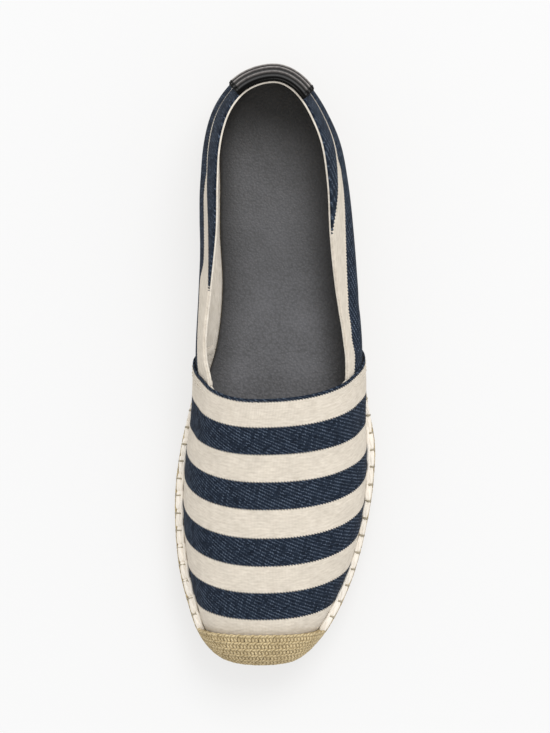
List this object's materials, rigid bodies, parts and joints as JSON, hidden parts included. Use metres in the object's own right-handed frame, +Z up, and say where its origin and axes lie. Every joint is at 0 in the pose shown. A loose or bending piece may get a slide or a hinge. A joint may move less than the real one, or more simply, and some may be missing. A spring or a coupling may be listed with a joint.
{
  "type": "espadrille",
  "caption": "Flat slip-on espadrille for the left foot: striped canvas upper, crocheted toe cap, leather heel patch and insole, on a rope sole with a thin rubber outsole.",
  "frame": {"origin": "middle of the shoe's bounding box, on the floor that it stands on", "axes": "+Z up, +Y from the toe to the heel, +X to the outer side of the left foot"},
  "size_m": [0.0857, 0.255, 0.0693],
  "materials": {
    "rubber": "tan vulcanised rubber sheet, matt",
    "jute": "braided jute rope, natural",
    "insole_leather": "black leather, fine grain, half matt",
    "canvas": "cotton canvas with natural and navy stripes 12 mm wide, cotton lining and stitching",
    "crochet": "crocheted jute yarn",
    "patch_leather": "black leather, smooth and glossy"
  },
  "bodies": {
    "root": {"outsole": "rubber", "midsole": "jute", "insole": "insole_leather", "upper": "canvas", "toe_cap": "crochet", "heel_patch": "patch_leather"}
  },
  "joints": []
}
